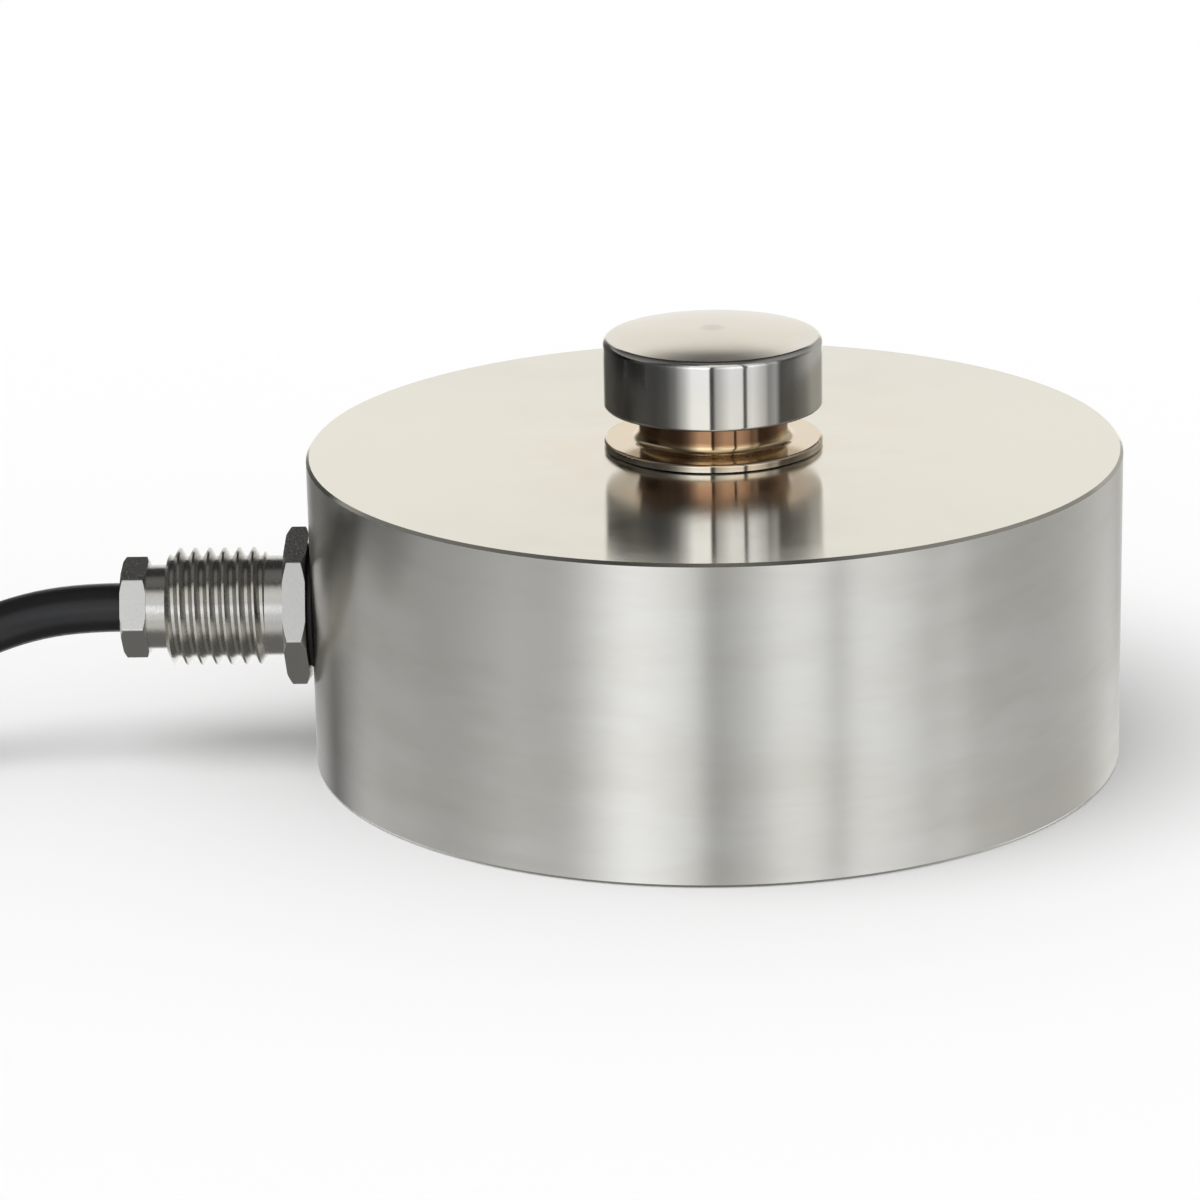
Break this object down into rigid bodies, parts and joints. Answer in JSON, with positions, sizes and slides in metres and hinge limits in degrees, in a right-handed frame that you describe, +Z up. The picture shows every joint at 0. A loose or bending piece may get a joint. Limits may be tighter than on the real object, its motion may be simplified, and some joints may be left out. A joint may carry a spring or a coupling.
{
  "type": "compression load cell",
  "caption": "Low round compression load cell: turned stainless body with a domed load button on top, a threaded cable gland at the side and a coiled cable.",
  "frame": {"origin": "centre of the foot ring's bolt circle, on the foot plane", "axes": "+Z up along the load axis, out of the button's dome; the cable gland points along -X"},
  "size_m": [0.2297, 0.0893, 0.0441],
  "materials": {
    "turned_stainless": "turned satin side, polished top",
    "polished_stainless": "polished, with a straw tint at the weld",
    "cover_stainless": "rolled sheet, satin",
    "gland_metal": "nickel-plated, satin",
    "nitrile_rubber": "matt black",
    "cable_jacket": "black PVC, slight sheen",
    "heat_shrink": "black heat-shrink sleeve",
    "tie_nylon": "black nylon",
    "board_laminate": "green solder mask",
    "chip_ceramic": "dark ceramic chips",
    "copper_wire": "enamelled copper",
    "tinned_copper": "tinned",
    "gauge_foil": "amber polyimide",
    "core_red": "PVC insulation",
    "core_black": "PVC insulation",
    "core_green": "PVC insulation",
    "core_white": "PVC insulation",
    "core_shield": "yellow sleeve over the twisted screen"
  },
  "bodies": {
    "root": {"base_cover": "cover_stainless", "board_screw": "gland_metal", "cable_boot": "heat_shrink", "cable_coil": "cable_jacket", "cable_entry": "cable_jacket", "cable_lead": "cable_jacket", "cable_tail": "cable_jacket", "cable_tie_1": "tie_nylon", "cable_tie_2": "tie_nylon", "cell_body": "turned_stainless", "circuit_board": "board_laminate", "gauge_wires": "copper_wire", "gland_body": "gland_metal", "gland_nut": "gland_metal", "gland_seal": "nitrile_rubber", "gland_seal_ring": "nitrile_rubber", "gland_washer": "gland_metal", "inner_core_black": "core_black", "inner_core_green": "core_green", "inner_core_red": "core_red", "inner_core_white": "core_white", "lead_black": "core_black", "lead_green": "core_green", "lead_red": "core_red", "lead_shield": "core_shield", "lead_white": "core_white", "load_button": "polished_stainless", "strain_gauge_1": "gauge_foil", "strain_gauge_2": "gauge_foil", "strain_gauge_3": "gauge_foil", "strain_gauge_4": "gauge_foil", "trim_resistors": "chip_ceramic", "wire_ferrules": "tinned_copper"}
  },
  "joints": []
}
